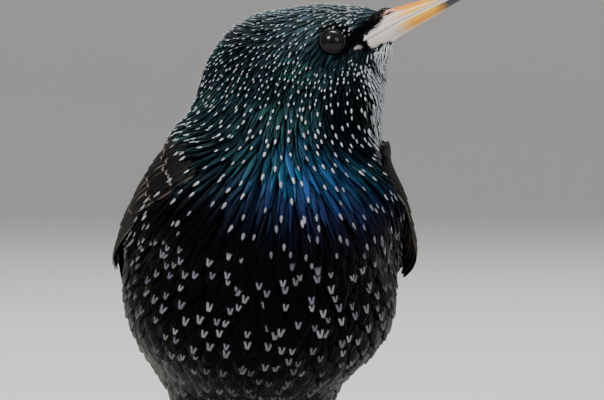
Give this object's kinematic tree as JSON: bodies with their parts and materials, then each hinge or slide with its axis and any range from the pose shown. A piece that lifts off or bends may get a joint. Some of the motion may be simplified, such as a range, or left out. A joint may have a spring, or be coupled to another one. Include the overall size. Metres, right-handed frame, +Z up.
{
  "type": "starling model",
  "caption": "Life-size model of a standing songbird in spotted winter plumage, its head turned over one shoulder and its bill raised.",
  "frame": {"origin": "on the floor, under the middle of the bounding box", "axes": "+Z up, the bird's breast faces -Y, its tail +Y, its left side +X; its bill points to +X and up"},
  "size_m": [0.0937, 0.1359, 0.1434],
  "materials": {
    "body_plumage": "soft, black with a green and violet sheen",
    "hackles": "silky, dark teal sheen",
    "head_plumage": "soft, finely streaked grey on black",
    "bill_horn": "satin horn",
    "bill_pale_horn": "satin horn",
    "eye": "wet gloss",
    "flight_feathers": "silky, dark brown with buff edges",
    "leg_scales": "dry scaled skin",
    "claw_horn": "satin horn"
  },
  "bodies": {
    "root": {"bill_lower": "bill_pale_horn", "bill_upper": "bill_horn", "claw_left_hind": "claw_horn", "claw_left_inner": "claw_horn", "claw_left_middle": "claw_horn", "claw_left_outer": "claw_horn", "claw_right_hind": "claw_horn", "claw_right_inner": "claw_horn", "claw_right_middle": "claw_horn", "claw_right_outer": "claw_horn", "eye_left": "eye", "eye_right": "eye", "foot_left": "leg_scales", "foot_right": "leg_scales", "head": "head_plumage", "neck": "hackles", "shin_left": "body_plumage", "shin_right": "body_plumage", "tail": "flight_feathers", "tarsus_left": "leg_scales", "tarsus_right": "leg_scales", "torso": "body_plumage", "wing_left": "flight_feathers", "wing_right": "flight_feathers"}
  },
  "joints": []
}
